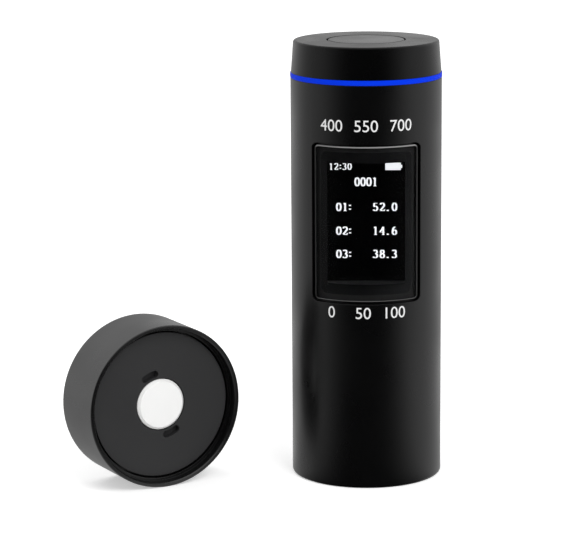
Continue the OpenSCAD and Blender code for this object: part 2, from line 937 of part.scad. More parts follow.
module return_spring() {
    steps = SPRING_TURNS * SPRING_STEPS;
    sides = SPRING_SIDES;
    points = [for (step = [0 : steps], side = [0 : sides - 1]) spring_point(step, side)];
    walls = [
        for (step = [0 : steps - 1], side = [0 : sides - 1])
            let (
                a = step * sides + side,
                b = step * sides + (side + 1) % sides
            )
            each [[a, b + sides, b], [a, a + sides, b + sides]]
    ];
    first = [for (side = [1 : sides - 2]) [0, side, side + 1]];
    last = [for (side = [1 : sides - 2]) [steps * sides, steps * sides + side + 1, steps * sides + side]];
    color(STEEL) polyhedron(points = points, faces = concat(walls, first, last));
}

module top_button() {
    color(BLACK)
        rotate_extrude() {
            translate([0, button_under]) square([button_flange_r, flange_t]);
            translate([0, button_under]) square([button_r, head_top - button_round - button_under]);
            translate([0, head_top - 2 * button_round]) square([button_r - button_round, 2 * button_round]);
            translate([button_r - button_round, head_top - button_round]) circle(r = button_round);
        }
}

module button_plunger() {
    color(DARK) {
        disc(plunger_r, plunger_shoulder_z, button_under);
        disc(nub_r, nub_z, plunger_shoulder_z + fit_gap);
    }
}

// Calibration cap

module cap_profile() {
    square([cap_r - end_round, cap_l - rim_round]);
    translate([0, end_round]) square([cap_r, cap_l - end_round - rim_round]);
    translate([0, cap_l - 2 * rim_round]) square([cap_r - rim_round, 2 * rim_round]);
    translate([cap_r - end_round, end_round]) circle(r = end_round);
    translate([cap_r - rim_round, cap_l - rim_round]) circle(r = rim_round);
}

module cap_shell() {
    color(BLACK)
        cap_place()
            difference() {
                rotate_extrude() cap_profile();
                disc(mouth_r, cap_l - mouth_depth, cap_l + cut);
                disc(seat_r, carrier_z, cap_l);
                disc(cavity_r, end_t, cap_l);
                translate([0, 0, cap_l - mouth_chamfer])
                    cylinder(r1 = mouth_r, r2 = mouth_r + chamfer_h, h = chamfer_h);
            }
}

function arc_points(centre, r, from, to, steps) =
    [
        for (i = [0 : steps - 1])
            let (turn = from + (to - from) * i / steps)
            centre + r * [cos(turn), sin(turn)]
    ];

// A slot along a circle round the tile, with round ends
module key_slot(turn) {
    half_turn = (slot_l - slot_w) / slot_ring * 90 / PI;
    half_w = slot_w / 2;
    end = slot_ring * [cos(half_turn), sin(half_turn)];
    start = slot_ring * [cos(half_turn), -sin(half_turn)];
    rotate(turn)
        translate([0, 0, carrier_top - slot_depth])
            linear_extrude(height = slot_depth + cut)
                polygon(concat(
                    arc_points([0, 0], slot_ring + half_w, -half_turn, half_turn, 8),
                    arc_points(end, half_w, half_turn, half_turn + 180, 12),
                    arc_points([0, 0], slot_ring - half_w, half_turn, -half_turn, 8),
                    arc_points(start, half_w, 180 - half_turn, 360 - half_turn, 12)
                ));
}

module tile_carrier() {
    color(DARK)
        cap_place()
            difference() {
                union() {
                    disc(carrier_r, carrier_z, carrier_top);
                    disc(cup_r + cup_wall, carrier_z - cup_depth, carrier_z + fit_gap);
                }
                disc(tile_r + tile_gap, carrier_z - cut, carrier_top + cut);
                disc(cup_r, carrier_z - cup_depth - cut, carrier_z);
                key_slot(slot_turn);
                key_slot(slot_turn + 180);
                ring_of(MAGNET_TURNS, magnet_ring)
                    disc(magnet_d / 2 + thread_gap, carrier_z - cut, carrier_z + magnet_t);
            }
}

module white_tile() {
    top = carrier_top + tile_proud;
    color(WHITE)
        cap_place() {
            disc(tile_r, carrier_z - fit_gap, top - tile_bevel);
            translate([0, 0, top - tile_bevel])
                cylinder(r1 = tile_r, r2 = tile_r - tile_bevel, h = tile_bevel);
            disc(tile_flange_r, carrier_z - tile_flange_t, carrier_z);
        }
}

module tile_pad() {
    pad_top = carrier_z - tile_flange_t;
    color(FOAM) cap_place() disc(tile_flange_r, pad_top - pad_t, pad_top);
}

module tile_retainer() {
    top = carrier_z - tile_flange_t - pad_t;
    color(STEEL)
        cap_place()
            difference() {
                disc(cup_r - thread_gap, carrier_z - cup_depth, top);
                translate([0, 0, carrier_z - cup_depth]) slab(1, -tile_r, tile_r, -cut, drive_depth);
            }
}

module cap_magnets() {
    color(STEEL)
        cap_place()
            ring_of(MAGNET_TURNS, magnet_ring) disc(magnet_d / 2, carrier_z, carrier_z + magnet_t);
}

main_tube();
accent_ring();
head_cap();
display_lens();
lens_tape();
display_holder();
display_glass();
backlight();
display_ribbon();
main_board();
board_chips();
radio_module();
chassis();
chassis_screws();
battery_cell();
battery_tabs();
battery_strap();
usb_board();
usb_socket();
base_plate();
base_screws();
base_magnets();
aperture_glass();
sphere_lower();
sphere_upper();
led_board();
sphere_leds();
optic_tube();
sensor_lens();
sensor_board();
light_sensor();
button_holder();
button_board();
tact_switch();
button_flex();
head_screws();
return_spring();
top_button();
button_plunger();
cap_shell();
tile_carrier();
white_tile();
tile_pad();
tile_retainer();
cap_magnets();
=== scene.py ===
# %% Load the measured model
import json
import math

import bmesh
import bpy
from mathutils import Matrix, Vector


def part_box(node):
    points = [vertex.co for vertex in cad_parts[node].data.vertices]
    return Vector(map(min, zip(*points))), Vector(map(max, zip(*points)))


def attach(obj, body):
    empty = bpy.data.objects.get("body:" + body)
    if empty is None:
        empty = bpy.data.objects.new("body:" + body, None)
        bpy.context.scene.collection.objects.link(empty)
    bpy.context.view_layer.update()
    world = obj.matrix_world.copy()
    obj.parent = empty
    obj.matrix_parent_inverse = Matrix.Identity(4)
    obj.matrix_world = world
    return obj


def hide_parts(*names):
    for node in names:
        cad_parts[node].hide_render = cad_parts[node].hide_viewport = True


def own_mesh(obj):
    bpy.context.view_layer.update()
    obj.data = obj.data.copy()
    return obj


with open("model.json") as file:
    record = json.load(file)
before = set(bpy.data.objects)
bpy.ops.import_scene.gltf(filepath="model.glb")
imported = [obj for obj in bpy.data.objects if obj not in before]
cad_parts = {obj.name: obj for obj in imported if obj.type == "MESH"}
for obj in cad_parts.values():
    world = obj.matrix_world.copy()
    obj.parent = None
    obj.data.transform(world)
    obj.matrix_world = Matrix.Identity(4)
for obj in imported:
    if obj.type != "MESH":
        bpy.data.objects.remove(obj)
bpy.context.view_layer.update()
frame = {"nodes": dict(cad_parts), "record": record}

# %% [markdown]
# A handheld colorimeter stands on its measuring end, and its calibration cap stands beside it.
# The measured model is already in the scene: every piece is a mesh whose place is in its points.
# This lesson gives those pieces their finish, and models the few that need more shape than a
# construction drawing holds, such as the curved window, the lit figures and the coloured ring.
# Every length here is in metres, so a value in millimetres is multiplied by MM.

MM = 0.001
scene = bpy.context.scene
nodes = frame["nodes"]


def new_object(name, data):
    """An object at the origin that holds this mesh, curve, lamp or camera."""
    piece = bpy.data.objects.new(name, data)
    scene.collection.objects.link(piece)
    return piece


barrel_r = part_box("main_tube")[1][0]
print("barrel radius", round(barrel_r / MM, 2), "mm, pieces", len(nodes))

# %% [markdown]
# The camera stands half a metre away and a little above the barrel's top, as the photograph's did.
# Its place was worked out from the edges of the barrel, the ring and the top face, so the render
# lies over the photograph. Turning about Z, then X, then the view's own axis keeps it readable.

# %% Camera
CAMERA_PLACE = Vector((0.68, -552.4, 154.15)) * MM
CAMERA_TURN = math.radians(1.82)
CAMERA_DOWN = math.radians(11.37)
CAMERA_ROLL = math.radians(-0.4)
CAMERA_LENS = 171.5
SENSOR_WIDTH = 36
FARTHEST_SEEN = 50

camera = new_object("camera", bpy.data.cameras.new("camera"))
camera.data.lens = CAMERA_LENS
camera.data.sensor_width = SENSOR_WIDTH
camera.data.clip_end = FARTHEST_SEEN
camera.matrix_world = (
    Matrix.Translation(CAMERA_PLACE)
    @ Matrix.Rotation(CAMERA_TURN, 4, "Z")
    @ Matrix.Rotation(math.pi / 2 - CAMERA_DOWN, 4, "X")
    @ Matrix.Rotation(CAMERA_ROLL, 4, "Z")
)
scene.camera = camera
scene.view_settings.view_transform = "Standard"
print("camera", [round(v, 3) for v in CAMERA_PLACE], "lens", CAMERA_LENS)

# %% [markdown]
# A shader node group is a small machine with named inputs and outputs, built once and used in many
# materials. The helpers here make an empty group, put a group to use in a material, and add nodes.

# %% Shader helpers
def shader_group(name, inputs, outputs):
    """A new shader group. inputs are {name: value}, outputs are {name: "Float", "Color" or "Vector"}."""
    group = bpy.data.node_groups.new(name, "ShaderNodeTree")
    for label, value in inputs.items():
        kind = "NodeSocketFloat" if isinstance(value, (int, float)) else "NodeSocketVector"
        socket = group.interface.new_socket(name=label, in_out="INPUT", socket_type=kind)
        socket.default_value = value
    for label, kind in outputs.items():
        group.interface.new_socket(name=label, in_out="OUTPUT", socket_type="NodeSocket" + kind)
    entry = group.nodes.new("NodeGroupInput")
    leave = group.nodes.new("NodeGroupOutput")
    return group, entry.outputs, leave.inputs


def feed(tree, socket, value):
    """Links a socket to another one, or gives it a value."""
    if isinstance(value, bpy.types.NodeSocket):
        tree.links.new(value, socket)
    else:
        socket.default_value = value


def add_node(tree, kind, settings=None, **links):
    """A node of one kind. settings are its own properties, and links are values or sockets by name."""
    node = tree.nodes.new("ShaderNode" + kind)
    for label, value in (settings or {}).items():
        setattr(node, label, value)
    for label, value in links.items():
        feed(tree, node.inputs[label.replace("_", " ")], value)
    return node


def use_group(tree, group):
    """A node that runs a group inside another tree."""
    node = tree.nodes.new("ShaderNodeGroup")
    node.node_tree = group
    return node


def maths(tree, operation, *values):
    """The result of one Math node."""
    node = tree.nodes.new("ShaderNodeMath")
    node.operation = operation
    for socket, value in zip(node.inputs, values):
        feed(tree, socket, value)
    return node.outputs[0]


def ramp(tree, value, low, high, start=0.0, end=1.0):
    """Turns low..high of a value into start..end with soft ends."""
    node = tree.nodes.new("ShaderNodeMapRange")
    node.interpolation_type = "SMOOTHSTEP"
    tree.links.new(value, node.inputs["Value"])
    for label, amount in (("From Min", low), ("From Max", high), ("To Min", start), ("To Max", end)):
        node.inputs[label].default_value = amount
    return node.outputs["Result"]


def mixed(tree, factor, first, second):
    """A colour between two colours."""
    node = add_node(tree, "Mix", {"data_type": "RGBA"}, Factor=factor)
    colour_sockets = [socket for socket in node.inputs if socket.type == "RGBA"]
    for socket, colour in zip(colour_sockets, (first, second)):
        socket.default_value = colour
    return next(socket for socket in node.outputs if socket.type == "RGBA")


print("shader helpers ready")

# %% [markdown]
# The studio is a white room whose camera side is dark, which is how a black glossy thing gets its
# shape: it shows only what it reflects. A soft light overhead gives every top edge a thin line. A
# picture of a studio could be wrapped round the scene instead, but a few ramps need no file, and
# each tone can be set by itself. The group below tells how bright the room is in one direction. It
# is fixed in the room and has nothing to do with where the camera stands.

# %% How bright the room is, direction by direction
LEFT_TONE = 0.57
RIGHT_TONE = 0.73
BACK_CORNER_TONE = 0.76
BACK_TONE = 0.58
CEILING_TONE = 0.8
DARKEST_TONE = 0.01
# Between which parts of a direction, whose length is 1, one tone goes over into the next
LEFT_TO_RIGHT = (-0.7, 0.9)
DARK_FRONT_TO_SIDES = (0.98, 0.22)
SIDES_TO_BACK = (0.0, -0.75)
CORNERS_TO_MIDDLE = (-0.8, -1.0)
WALLS_TO_CEILING = (0.45, 0.8)


def unit_parts(group, direction, keep):
    """The x, y and z of a direction scaled to length 1. keep says which of them count."""
    kept = add_node(group, "VectorMath", {"operation": "MULTIPLY"})
    group.links.new(direction, kept.inputs[0])
    kept.inputs[1].default_value = keep
    unit = add_node(group, "VectorMath", {"operation": "NORMALIZE"})
    group.links.new(kept.outputs[0], unit.inputs[0])
    return add_node(group, "SeparateXYZ", Vector=unit.outputs[0]).outputs


def make_room_tone():
    """Walls that are dark in front, brighter to the sides and back, and a lit ceiling."""
    group, entry, leave = shader_group("room_tone", {"Direction": (0, 0, 0)}, {"Tone": "Float"})
    level = unit_parts(group, entry["Direction"], (1, 1, 0))
    front = maths(group, "MULTIPLY", level["Y"], -1.0)
    side = ramp(group, level["X"], *LEFT_TO_RIGHT, LEFT_TONE, RIGHT_TONE)
    opened = ramp(group, front, *DARK_FRONT_TO_SIDES)
    behind = ramp(group, front, *SIDES_TO_BACK)
    back = ramp(group, front, *CORNERS_TO_MIDDLE, BACK_CORNER_TONE, BACK_TONE)
    rest_share = maths(group, "MULTIPLY", side, maths(group, "SUBTRACT", 1.0, behind))
    back_share = maths(group, "MULTIPLY", behind, back)
    walls = maths(group, "MULTIPLY", maths(group, "ADD", rest_share, back_share), opened)
    up = unit_parts(group, entry["Direction"], (1, 1, 1))["Z"]
    ceiling = ramp(group, up, *WALLS_TO_CEILING, 0.0, CEILING_TONE)
    lit = maths(group, "MAXIMUM", walls, ceiling)
    group.links.new(maths(group, "ADD", lit, DARKEST_TONE), leave["Tone"])
    return group


room_tone = make_room_tone()
print("room group", room_tone.name, "with", len(room_tone.nodes), "nodes")

# %% [markdown]
# The world shows plain white to the camera. Reflections see the room's tones, and everything else
# gets even soft light, at which a colour comes out about as it is written.

# %% World
SOFT_LIGHT = 0.62
WHITE = (1, 1, 1, 1)


def room_seen(tree, direction):
    """The room's tone in a direction, and 1 for a ray that a surface reflects or lets through."""
    tone = use_group(tree, room_tone)
    tree.links.new(direction, tone.inputs["Direction"])
    path = add_node(tree, "LightPath").outputs
    return tone.outputs["Tone"], maths(tree, "MAXIMUM", path["Is Glossy Ray"], path["Is Transmission Ray"])


def make_world():
    """The white backdrop, the soft light and the room in reflections."""
    world = bpy.data.worlds.new("studio")
    scene.world = world
    world.use_nodes = True
    tree = world.node_tree
    tree.nodes.clear()
    tone, seen = room_seen(tree, add_node(tree, "TexCoord").outputs["Generated"])
    soft = maths(tree, "MULTIPLY", maths(tree, "SUBTRACT", 1.0, seen), SOFT_LIGHT)
    mirrored = maths(tree, "MULTIPLY", seen, tone)
    to_camera = add_node(tree, "LightPath").outputs["Is Camera Ray"]
    level = maths(tree, "MAXIMUM", maths(tree, "ADD", soft, mirrored), to_camera)
    back = add_node(tree, "Background", Strength=level, Color=WHITE)
    add_node(tree, "OutputWorld", Surface=back.outputs[0])
    print("world level off the camera", SOFT_LIGHT)


make_world()

# %% [markdown]
# The floor is a wide white sheet, a hair below the object. It keeps the object's shadow, and its own
# white glow, which only the camera sees, lifts it to the white of the backdrop. Reflections see the
# room's tones in it. From below it is clear, so the underside of the object can be looked at.

# %% Floor
FLOOR_HALF = 6.0
FLOOR_Z = -0.02 * MM
FLOOR_GLOW = 0.42
FLOOR_PAPER = (0.9, 0.9, 0.9, 1)


def shader_of(tree, kind, *parts):
    """A shader that adds or mixes others. parts are sockets or nodes, in the order of its inputs."""
    node = add_node(tree, kind)
    for socket, part in zip(node.inputs, parts):
        tree.links.new(part if isinstance(part, bpy.types.NodeSocket) else part.outputs[0], socket)
    return node


def make_floor():
    """The white sheet under the object."""
    mesh = bpy.data.meshes.new("floor")
    corners = [(x * FLOOR_HALF, y * FLOOR_HALF, FLOOR_Z) for x, y in ((-1, -1), (1, -1), (1, 1), (-1, 1))]
    mesh.from_pydata(corners, [], [(0, 1, 2, 3)])
    floor = new_object("floor", mesh)
    material = bpy.data.materials.new("floor_white")
    material.use_nodes = True
    tree = material.node_tree
    tree.nodes.clear()
    tone, seen = room_seen(tree, add_node(tree, "TexCoord").outputs["Object"])
    to_camera = add_node(tree, "LightPath").outputs["Is Camera Ray"]
    paper = add_node(tree, "BsdfDiffuse", Color=FLOOR_PAPER)
    glow = add_node(tree, "Emission", Strength=maths(tree, "MULTIPLY", to_camera, FLOOR_GLOW))
    lit = shader_of(tree, "AddShader", paper, glow)
    mirrored = add_node(tree, "Emission", Strength=tone)
    above = shader_of(tree, "MixShader", seen, lit, mirrored)
    clear = add_node(tree, "BsdfTransparent")
    below = add_node(tree, "NewGeometry").outputs["Backfacing"]
    both = shader_of(tree, "MixShader", below, above, clear)
    add_node(tree, "OutputMaterial", Surface=both.outputs[0])
    mesh.materials.append(material)
    print("floor", 2 * FLOOR_HALF, "m wide")


make_floor()

# %% [markdown]
# Two wide lamps above shape the pale pieces and lay a faint shadow under the object. They are not
# seen in reflections, so the black shells keep the calm bands of the room.

# %% Lamps
LAMP_SIZE = 1.2
LAMP_TARGET = Vector((0, 0, 0.04))


def soft_lamp(name, place, watts):
    """A square lamp that looks at the middle of the object."""
    lamp = new_object(name, bpy.data.lights.new(name, "AREA"))
    lamp.data.energy = watts
    lamp.data.size = LAMP_SIZE
    lamp.location = place
    aim = LAMP_TARGET - Vector(place)
    lamp.rotation_euler = aim.to_track_quat("-Z", "Y").to_euler()
    lamp.visible_glossy = False
    print(name, watts, "W")


soft_lamp("lamp_front_right", (0.9, -1.3, 1.5), watts=22)
soft_lamp("lamp_back_left", (-1.0, 0.9, 1.6), watts=10)

# %% [markdown]
# Moulded and painted surfaces are never one flat colour. This group gives two quiet effects that
# every finish here shares: a fine grain for the bump, and a slow drift of tone over centimetres. It
# works from Object coordinates, so it stays put when a piece moves. Its sizes are in millimetres.

# %% Surface group
def make_surface_group():
    """Two noises, one fine and one slow."""
    sizes = {"Grain Size": 0.2, "Drift Size": 14.0}
    group, entry, leave = shader_group("surface_detail", sizes, {"Grain": "Float", "Drift": "Float"})
    place = add_node(group, "TexCoord").outputs["Object"]
    for label, size, detail in (("Grain", "Grain Size", 3.0), ("Drift", "Drift Size", 2.0)):
        scale = maths(group, "DIVIDE", 1.0 / MM, entry[size])
        noise = add_node(group, "TexNoise", Vector=place, Scale=scale, Detail=detail)
        group.links.new(noise.outputs["Fac"], leave[label])
    return group


surface_detail = make_surface_group()
effects = [socket.name for socket in surface_detail.interface.items_tree if socket.in_out == "OUTPUT"]
print("surface group outputs", effects)

# %% [markdown]
# Most finishes are one recipe with other amounts: a base colour that drifts a little, a roughness
# that follows the same drift, grain as bump, and edges that a soft rounding catches. Numbers that
# are the same all over a surface go straight on the shader's own sockets.

# %% The common finish
def shade(colour, factor):
    """A colour made lighter or darker."""
    return tuple(min(1.0, c * factor) for c in colour[:3]) + (1.0,)


# Nearly all values of a noise lie in this range, so a ramp over it uses its full span
DRIFT_RANGE = (0.3, 0.7)
ROUGHNESS_SPREAD = 0.05
SMOOTHEST = 0.02
COAT_ROUGHNESS = 0.1


def new_material(name, grain=0.2):
    """A material with its node tree, its main shader and a surface_detail node."""
    material = bpy.data.materials.new(name)
    material.use_nodes = True
    tree = material.node_tree
    detail = use_group(tree, surface_detail)
    detail.inputs["Grain Size"].default_value = grain
    return material, tree, tree.nodes["Principled BSDF"].inputs, detail.outputs


def finish(name, colour, roughness, grain=0.2, bump=0.01, drift=0.12, metallic=0.0, edge=0.08,
           specular=0.5, coat=0.0, sheen=0.0):
    """A material: grain and edge radius in mm, bump as the grain's height in mm, drift of the tone."""
    material, tree, shader, detail = new_material(name, grain)
    tone = mixed(tree, detail["Drift"], shade(colour, 1 - drift), shade(colour, 1 + drift))
    tree.links.new(tone, shader["Base Color"])
    smooth = max(SMOOTHEST, roughness - ROUGHNESS_SPREAD)
    rough = ramp(tree, detail["Drift"], *DRIFT_RANGE, smooth, roughness + ROUGHNESS_SPREAD)
    tree.links.new(rough, shader["Roughness"])
    rounded = add_node(tree, "Bevel", {"samples": 4}, Radius=edge * MM).outputs[0]
    relief = add_node(tree, "Bump", Height=detail["Grain"], Strength=1.0, Distance=bump * MM, Normal=rounded)
    tree.links.new(relief.outputs[0], shader["Normal"])
    shader["Metallic"].default_value = metallic
    shader["Specular IOR Level"].default_value = specular
    shader["Coat Weight"].default_value = coat
    shader["Coat Roughness"].default_value = COAT_ROUGHNESS
    shader["Sheen Weight"].default_value = sheen
    return material


print("common recipe: roughness varies by", ROUGHNESS_SPREAD)

# %% [markdown]
# Each material slot of the record gets a finish. The satin black of the barrel has a grain too fine
# to see, but it spreads reflections into soft bands. The button is a moulding of its own, a shade
# different, as two makers' parts always are. Blacks are written very dark here, because most of
# their grey comes from what they reflect.

# %% The finish of each measured piece
FINISHES = {
    "satin_black": finish("satin_black", (0.0021, 0.0021, 0.0023), 0.3, grain=0.16, bump=0.004, edge=0.25),
    "button_black": finish("button_black", (0.004, 0.004, 0.0045), 0.25, grain=0.22, bump=0.004, edge=0.2,
                           specular=0.34),
    "accent_blue": finish("accent_blue", (0.0, 0.037, 0.77), 0.45, bump=0.002, drift=0.04, specular=0.05),
    "black_tape": finish("black_tape", (0.008, 0.008, 0.008), 0.7, bump=0.01),
    "matt_black_moulding": finish("matt_black_moulding", (0.012, 0.012, 0.0125), 0.55, grain=0.3, bump=0.012),
    "display_black": finish("display_black", (0.0015, 0.0015, 0.002), 0.12, bump=0.0004, drift=0.05),
    "backlight_white": finish("backlight_white", (0.8, 0.8, 0.8), 0.5),
    "ribbon_amber": finish("ribbon_amber", (0.45, 0.2, 0.04), 0.3, coat=0.4),
    "board_green": finish("board_green", (0.02, 0.15, 0.06), 0.35, coat=0.5),
    "chip_black": finish("chip_black", (0.02, 0.02, 0.022), 0.55, grain=0.12, bump=0.01),
    "shield_steel": finish("shield_steel", (0.55, 0.56, 0.58), 0.3, metallic=1.0),
    "chassis_grey": finish("chassis_grey", (0.03, 0.03, 0.033), 0.5, grain=0.3, bump=0.012),
    "screw_steel": finish("screw_steel", (0.34, 0.35, 0.37), 0.28, metallic=1.0, bump=0.002),
    "cell_wrap": finish("cell_wrap", (0.04, 0.16, 0.42), 0.25, bump=0.004, coat=0.3),
    "nickel": finish("nickel", (0.55, 0.54, 0.5), 0.3, metallic=1.0),
    "strap_foam": finish("strap_foam", (0.05, 0.05, 0.055), 0.9, grain=0.5, bump=0.06, sheen=0.2),
    "socket_steel": finish("socket_steel", (0.5, 0.51, 0.53), 0.26, metallic=1.0, bump=0.002),
    "magnet_nickel": finish("magnet_nickel", (0.6, 0.6, 0.61), 0.16, metallic=1.0, bump=0.001),
    "sphere_white": finish("sphere_white", (0.88, 0.88, 0.86), 0.95, grain=0.1, bump=0.01, drift=0.02),
    "led_white": finish("led_white", (0.85, 0.84, 0.6), 0.4),
    "switch_steel": finish("switch_steel", (0.46, 0.47, 0.49), 0.35, metallic=1.0),
    "spring_steel": finish("spring_steel", (0.55, 0.55, 0.57), 0.22, metallic=1.0, bump=0.001),
    "carrier_black": finish("carrier_black", (0.031, 0.031, 0.032), 0.5, grain=0.2, bump=0.008, drift=0.08,
                            edge=0.2),
    "ceramic_white": finish("ceramic_white", (0.96, 0.96, 0.95), 0.22, bump=0.0015, drift=0.015, edge=0.15),
    "pad_foam": finish("pad_foam", (0.06, 0.06, 0.065), 0.9, grain=0.5, bump=0.06, sheen=0.2),
    "retainer_black": finish("retainer_black", (0.02, 0.02, 0.022), 0.5, grain=0.3, bump=0.01),
}
print(len(FINISHES), "finishes from the common recipe")

# %% [markdown]
# Glass needs a recipe of its own: full transmission, hardly any roughness, and a faint smear that
# only shows where a reflection crosses it. The window in the photograph mirrors hardly anything, as
# if it had a layer against reflections. An index of refraction far below that of any real plastic
# stands for such a layer, because a low index mirrors less. In a plate as thin as this the lesser
# bending doesn't show.

# %% Glass
COATED_WINDOW_IOR = 1.09
GLASS_IOR = 1.52
SMEAR_RANGE = (0.4, 0.8)
SMEAR_ROUGHNESS = 0.05


def glass(name, colour, ior):
    """Clear glass with a faint smear. ior is its index of refraction."""
    material, tree, shader, detail = new_material(name)
    tone = mixed(tree, detail["Drift"], shade(colour, 0.98), shade(colour, 1.0))
    smear = ramp(tree, detail["Drift"], *SMEAR_RANGE, 0.0, SMEAR_ROUGHNESS)
    tree.links.new(tone, shader["Base Color"])
    tree.links.new(smear, shader["Roughness"])
    shader["Transmission Weight"].default_value = 1.0
    shader["IOR"].default_value = ior
    return material


FINISHES["window_glass"] = glass("window_glass", (0.93, 0.94, 0.95), COATED_WINDOW_IOR)
FINISHES["optical_glass"] = glass("optical_glass", (0.97, 0.98, 0.98), GLASS_IOR)
print("glass for", [name for name in FINISHES if name.endswith("_glass")])

# %% [markdown]
# The record says which slot each measured piece belongs to. Three pieces get a finish of their own
# within their slot: the black tunnel round the display is duller than other mouldings, the head's
# paint is a touch smoother than the barrel's, and the cap's paint mirrors more.

# %% Finishes on the measured pieces
for part in frame["record"]["subparts"]:
    mesh = nodes[part["node"]].data
    mesh.materials.clear()
    mesh.materials.append(FINISHES[part["material_slot"]])

OWN_FINISHES = {
    "display_holder": finish("tunnel_black", (0.012, 0.012, 0.0125), 0.7, grain=0.3, bump=0.01),
    "head_cap": finish("head_black", (0.0012, 0.0012, 0.0013), 0.27, grain=0.16, bump=0.004, edge=0.25,
                       specular=0.32),
    "cap_shell": finish("cap_black", (0.0022, 0.0022, 0.0024), 0.3, grain=0.16, bump=0.004, edge=0.14,
                        specular=1.0),
}
for name, paint in OWN_FINISHES.items():
    nodes[name].data.materials[0] = paint

# %% [markdown]
# The window, the film behind it and the print follow the barrel's curve. Each is drawn flat first,
# then cut into narrow strips, and each of its points is laid on the curve. Cutting before bending
# keeps the curve round. A Simple Deform modifier bends too, but a formula for each point keeps every
# size exact. The helpers here do these steps, and give a piece its finish and its body.

# %% Flat outline, strips and bending
STRIP_W = 0.5 * MM


def rounded_outline(half_w, half_h, corner, steps=8):
    """Points of a rounded rectangle in x and z, anticlockwise from the front."""
    points = []
    for turn, sx, sz in ((0, 1, 1), (90, -1, 1), (180, -1, -1), (270, 1, -1)):
        centre = Vector((sx * (half_w - corner), sz * (half_h - corner)))
        for step in range(steps + 1):
            angle = math.radians(turn + 90 * step / steps)
            points.append(centre + corner * Vector((math.cos(angle), math.sin(angle))))
    return points


def cut_strips(work, half_w):
    """Cuts a flat mesh along planes of constant x, so that it can follow a curve."""
    count = math.ceil(2 * half_w / STRIP_W)
    for step in range(1, count):
        x = -half_w + 2 * half_w * step / count
        geometry = work.verts[:] + work.edges[:] + work.faces[:]
        bmesh.ops.bisect_plane(work, geom=geometry, plane_co=(x, 0, 0), plane_no=(1, 0, 0), dist=1e-8)


def bend_to_barrel(work, radius):
    """Lays points on the barrel: y is the depth below the radius, and x stays as it is."""
    for vert in work.verts:
        reach = radius - vert.co.y
        vert.co.y = -math.sqrt(reach ** 2 - vert.co.x ** 2)


def finish_mesh(work, name):
    """Gives a mesh with outward faces."""
    bmesh.ops.recalc_face_normals(work, faces=work.faces[:])
    mesh = bpy.data.meshes.new(name)
    work.to_mesh(mesh)
    work.free()
    return mesh


def put_on_body(piece, body, materials, stands_for=()):
    """Gives a piece its finish, lets it move with its body, and hides the measured pieces that it stands for.
    """
    for material in materials:
        piece.data.materials.append(material)
    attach(piece, body)
    if stands_for:
        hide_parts(*stands_for)
    print(piece.name, len(piece.data.vertices), "points")


print("a barrel strip bends by", round(math.degrees(STRIP_W / barrel_r), 2), "degrees")

# %% [markdown]
# The window is a clear plastic lens, a rounded plate with a chamfer, as large as the measured one.
# It could be cut out of a tube with a Boolean, but a bent plate has an even chamfer and clean faces.
# Sawn plastic has a ground chamfer, which catches a thin line of light round the window, so it gets a frosted
# material of its own whose colour holds painted light: lightest where it faces up, less light where it faces
# down, and painted shade at the sides, as light from above would fall on it. The sawn wall gets a dark third
# one.

# %% Window lens
lens_low, lens_high = (Vector(v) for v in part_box("display_lens"))
LENS_T = 0.75 * MM
LENS_CORNER = 0.8 * MM
LENS_CHAMFER = 0.22 * MM
GLASS_FACE, CHAMFER_FACE, WALL_FACE = 0, 1, 2
# Painted light on the chamfer's colour: the level facing up, the painted shade at the sides, and the extra
# facing down
PAINTED_LIGHT_TOP = 0.34
PAINTED_SHADE_SIDE = 0.05
PAINTED_LIGHT_BOTTOM_MORE = 0.12
TILT_START, TILT_END = 0.1, 0.7
lens_r = -lens_low.y
lens_half_w = (lens_high.x - lens_low.x) / 2
lens_half_h = (lens_high.z - lens_low.z) / 2
window_z = (lens_high.z + lens_low.z) / 2


def painted_light_chamfer_finish():
    """Ground plastic whose colour holds painted light: lightest where it faces up, then where it faces down,
    and painted shade at the sides.
    """
    material = finish("chamfer_painted_light", (0.3, 0.3, 0.3), 0.5, grain=0.1, bump=0.004, edge=0.03)
    tree = material.node_tree
    normal = add_node(tree, "NewGeometry").outputs["Normal"]
    up = add_node(tree, "SeparateXYZ", Vector=normal).outputs["Z"]
    # Painted light: the colour follows which way the face points, lighter facing up and darker to the sides
    top = ramp(tree, up, TILT_START, TILT_END, PAINTED_SHADE_SIDE, PAINTED_LIGHT_TOP)
    bottom = ramp(tree, up, -TILT_START, -TILT_END, 0.0, PAINTED_LIGHT_BOTTOM_MORE)
    tree.links.new(maths(tree, "ADD", top, bottom), tree.nodes["Principled BSDF"].inputs["Base Color"])
    return material


chamfer_painted_light = painted_light_chamfer_finish()
sawn_wall = finish("sawn_wall", (0.012, 0.012, 0.012), 0.6, grain=0.1, bump=0.004, edge=0.05)


def add_ring(work, points, depth):
    """Adds an outline's points at a depth, as they lie before the bending."""
    return [work.verts.new((point.x, depth, point.y)) for point in points]


def make_lens():
    """The lens as an object. Its three kinds of face carry three materials."""
    full = rounded_outline(lens_half_w, lens_half_h, LENS_CORNER)
    inner = rounded_outline(lens_half_w - LENS_CHAMFER, lens_half_h - LENS_CHAMFER,
                            LENS_CORNER - LENS_CHAMFER)
    work = bmesh.new()
    rings = ((full, LENS_T), (full, LENS_CHAMFER), (inner, 0.0))
    inside, shoulder, outside = [add_ring(work, points, depth) for points, depth in rings]
    for number, near, far in ((WALL_FACE, inside, shoulder), (CHAMFER_FACE, shoulder, outside)):
        for i in range(len(near)):
            j = (i + 1) % len(near)
            work.faces.new((near[i], near[j], far[j], far[i])).material_index = number
    for loop in (inside, outside):
        work.faces.new(loop).material_index = GLASS_FACE
    cut_strips(work, lens_half_w)
    bend_to_barrel(work, lens_r)
    bmesh.ops.translate(work, verts=work.verts[:], vec=(0, 0, window_z))
    return new_object("window_lens", finish_mesh(work, "window_lens"))


